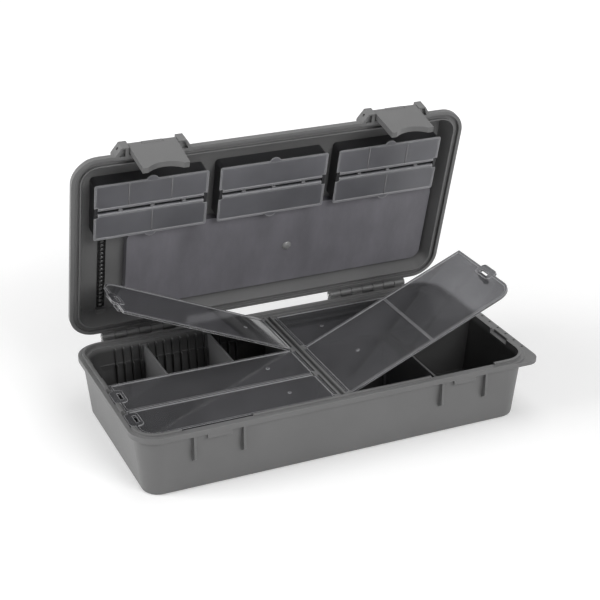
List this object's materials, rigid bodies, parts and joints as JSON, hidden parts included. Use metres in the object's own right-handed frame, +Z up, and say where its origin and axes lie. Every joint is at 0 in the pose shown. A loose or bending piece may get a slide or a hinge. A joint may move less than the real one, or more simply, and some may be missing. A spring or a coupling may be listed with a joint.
{
  "type": "tackle box",
  "caption": "Shallow hinged tackle box with see-through compartment flaps, slide-in dividers, latched lid, and bit boxes, a sheet and a bead strip in the lid.",
  "frame": {"origin": "middle of the tub's underside, in the plane it rests on", "axes": "+X along the length towards the holed flange, +Y from the latches to the hinges, +Z up"},
  "size_m": [0.39, 0.2145, 0.2682],
  "materials": {
    "shell": "fine moulded grain",
    "latch": "fine moulded grain, slightly lighter",
    "clear": "smoky see-through, glossy",
    "clear_lid": "hazy see-through",
    "divider": "moulded",
    "tray": "near black",
    "sheet": "matt foam sheet",
    "stud": "satin dome",
    "bead": "soft black",
    "steel": "drawn wire"
  },
  "bodies": {
    "tub": {"base_tub": "shell", "hinge_pin_left": "steel", "hinge_pin_right": "steel"},
    "lid": {"lid_shell": "shell", "latch_pin_left": "steel", "latch_pin_right": "steel", "rig_panel": "sheet", "panel_stud": "stud", "bead_strip": "bead"},
    "latch_left": {"latch_left": "latch"},
    "latch_right": {"latch_right": "latch"},
    "flap_back_left": {"flap_back_left": "clear"},
    "flap_middle_left": {"flap_middle_left": "clear"},
    "flap_front_left": {"flap_front_left": "clear"},
    "flap_back_right": {"flap_back_right": "clear"},
    "flap_front_right": {"flap_front_right": "clear"},
    "divider_left": {"divider_left": "divider"},
    "divider_middle": {"divider_middle": "divider"},
    "divider_right": {"divider_right": "divider"},
    "box_left": {"bitbox_tray_left": "tray"},
    "box_left_front_lid": {"bitbox_lid_front_left": "clear_lid"},
    "box_left_back_lid": {"bitbox_lid_back_left": "clear_lid"},
    "box_middle": {"bitbox_tray_middle": "tray"},
    "box_middle_front_lid": {"bitbox_lid_front_middle": "clear_lid"},
    "box_middle_back_lid": {"bitbox_lid_back_middle": "clear_lid"},
    "box_right": {"bitbox_tray_right": "tray"},
    "box_right_front_lid": {"bitbox_lid_front_right": "clear_lid"},
    "box_right_back_lid": {"bitbox_lid_back_right": "clear_lid"}
  },
  "joints": [
    {"name": "lid_hinge", "type": "hinge", "parent": "tub", "child": "lid", "pos_m": [0, 0.10395, 0.063], "axis": [-1, 0, 0], "range_deg": [-75, 30]},
    {"name": "latch_left_pivot", "type": "hinge", "parent": "lid", "child": "latch_left", "pos_m": [-0.11819, 0.05472, 0.26333], "axis": [-1, 0, 0], "range_deg": [-7, 100]},
    {"name": "latch_right_pivot", "type": "hinge", "parent": "lid", "child": "latch_right", "pos_m": [0.11819, 0.05472, 0.26333], "axis": [-1, 0, 0], "range_deg": [-7, 100]},
    {"name": "flap_back_left_hinge", "type": "hinge", "parent": "tub", "child": "flap_back_left", "pos_m": [-0.0051, 0.048, 0.0591], "axis": [0, 1, 0], "range_deg": [-23.5, 9.5]},
    {"name": "flap_middle_left_hinge", "type": "hinge", "parent": "tub", "child": "flap_middle_left", "pos_m": [-0.0051, -0.015, 0.0591], "axis": [0, 1, 0], "range_deg": [0, 95]},
    {"name": "flap_front_left_hinge", "type": "hinge", "parent": "tub", "child": "flap_front_left", "pos_m": [-0.0051, -0.064, 0.0591], "axis": [0, 1, 0], "range_deg": [0, 95]},
    {"name": "flap_back_right_hinge", "type": "hinge", "parent": "tub", "child": "flap_back_right", "pos_m": [0.0071, 0.048, 0.0591], "axis": [0, -1, 0], "range_deg": [0, 34]},
    {"name": "flap_front_right_hinge", "type": "hinge", "parent": "tub", "child": "flap_front_right", "pos_m": [0.0071, -0.04, 0.0591], "axis": [0, -1, 0], "range_deg": [-23.5, 9.5]},
    {"name": "divider_left_slide", "type": "slide", "parent": "tub", "child": "divider_left", "axis": [0, 0, 1], "range_m": [0, 0.02]},
    {"name": "divider_middle_slide", "type": "slide", "parent": "tub", "child": "divider_middle", "axis": [0, 0, 1], "range_m": [0, 0.02]},
    {"name": "divider_right_slide", "type": "slide", "parent": "tub", "child": "divider_right", "axis": [0, 0, 1], "range_m": [0, 0.02]},
    {"name": "box_left_slide", "type": "slide", "parent": "lid", "child": "box_left", "axis": [0, -0.9659, -0.2588], "range_m": [0, 0.03]},
    {"name": "box_left_front_hinge", "type": "hinge", "parent": "box_left", "child": "box_left_front_lid", "pos_m": [-0.1176, 0.06642, 0.20498], "axis": [1, 0, 0], "range_deg": [0, 90]},
    {"name": "box_left_back_hinge", "type": "hinge", "parent": "box_left", "child": "box_left_back_lid", "pos_m": [-0.1176, 0.06777, 0.19995], "axis": [-1, 0, 0], "range_deg": [0, 90]},
    {"name": "box_middle_slide", "type": "slide", "parent": "lid", "child": "box_middle", "axis": [0, -0.9659, -0.2588], "range_m": [0, 0.03]},
    {"name": "box_middle_front_hinge", "type": "hinge", "parent": "box_middle", "child": "box_middle_front_lid", "pos_m": [0, 0.06642, 0.20498], "axis": [1, 0, 0], "range_deg": [0, 90]},
    {"name": "box_middle_back_hinge", "type": "hinge", "parent": "box_middle", "child": "box_middle_back_lid", "pos_m": [0, 0.06777, 0.19995], "axis": [-1, 0, 0], "range_deg": [0, 90]},
    {"name": "box_right_slide", "type": "slide", "parent": "lid", "child": "box_right", "axis": [0, -0.9659, -0.2588], "range_m": [0, 0.03]},
    {"name": "box_right_front_hinge", "type": "hinge", "parent": "box_right", "child": "box_right_front_lid", "pos_m": [0.1176, 0.06642, 0.20498], "axis": [1, 0, 0], "range_deg": [0, 90]},
    {"name": "box_right_back_hinge", "type": "hinge", "parent": "box_right", "child": "box_right_back_lid", "pos_m": [0.1176, 0.06777, 0.19995], "axis": [-1, 0, 0], "range_deg": [0, 90]}
  ],
  "couplings": [
    {"joint": "flap_back_left_hinge", "follows": "lid_hinge", "ratio": 0.31333},
    {"joint": "flap_front_right_hinge", "follows": "lid_hinge", "ratio": 0.31333}
  ]
}
